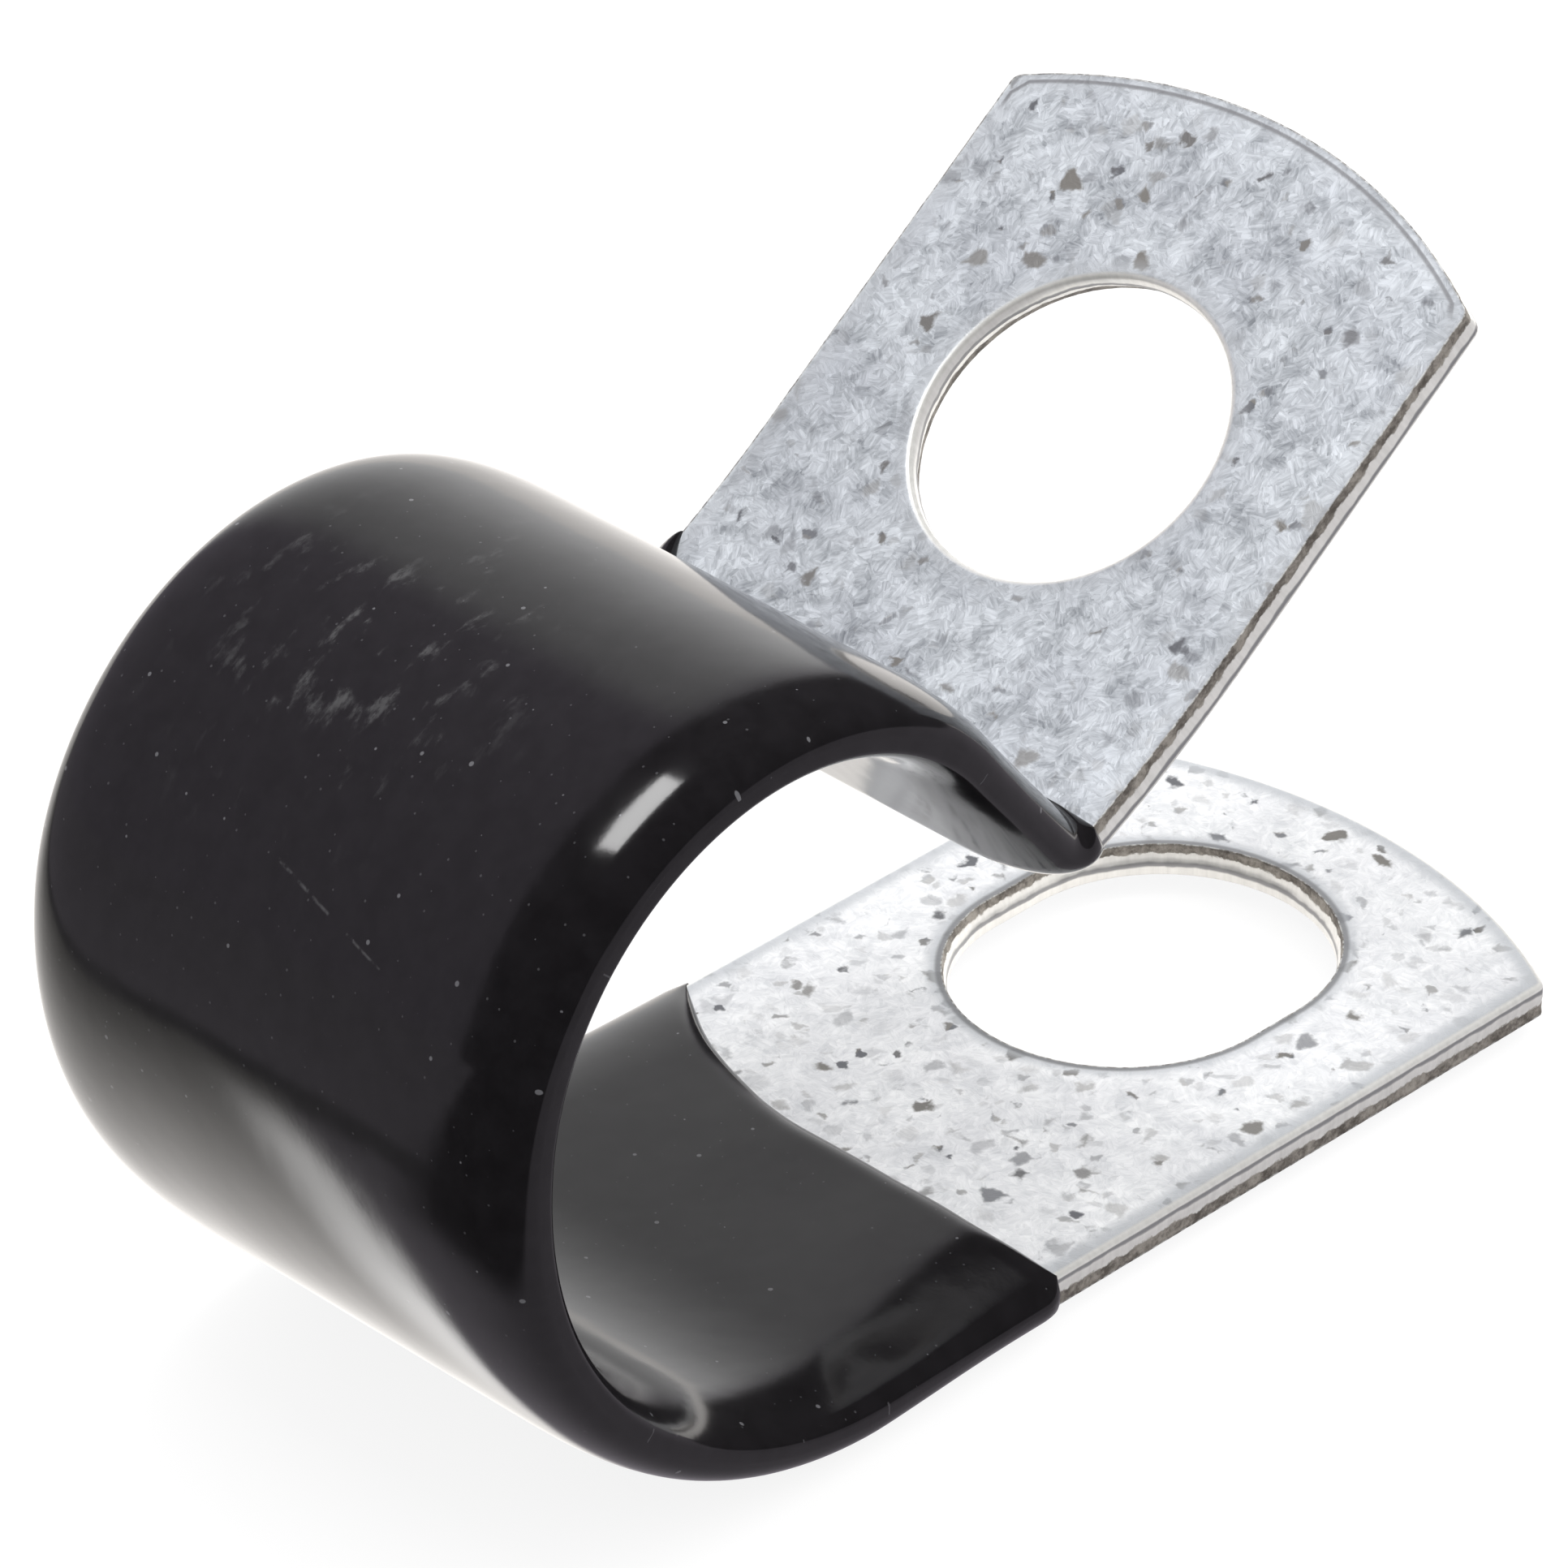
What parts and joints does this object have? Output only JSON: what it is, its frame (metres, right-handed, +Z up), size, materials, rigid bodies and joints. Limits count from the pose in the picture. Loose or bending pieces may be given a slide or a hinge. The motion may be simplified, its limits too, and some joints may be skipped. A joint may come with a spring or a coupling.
{
  "type": "loom clip",
  "caption": "Vinyl-coated steel P-clip, sprung open: a bent strap with a round-holed ear and a slotted ear that a bolt draws together round a wiring loom.",
  "frame": {"origin": "on the axis of the loop's upper bend, halfway across the strap", "axes": "+X along the lower ear towards its end, +Y across the strap, along the loom, +Z up"},
  "size_m": [0.0316, 0.014, 0.0195],
  "materials": {
    "galvanised_steel": "galvanised, dull mottled spangle, sheared edges",
    "vinyl": "glossy black dipped vinyl"
  },
  "bodies": {
    "root": {"steel_strap": "galvanised_steel", "vinyl_coating": "vinyl"}
  },
  "joints": []
}
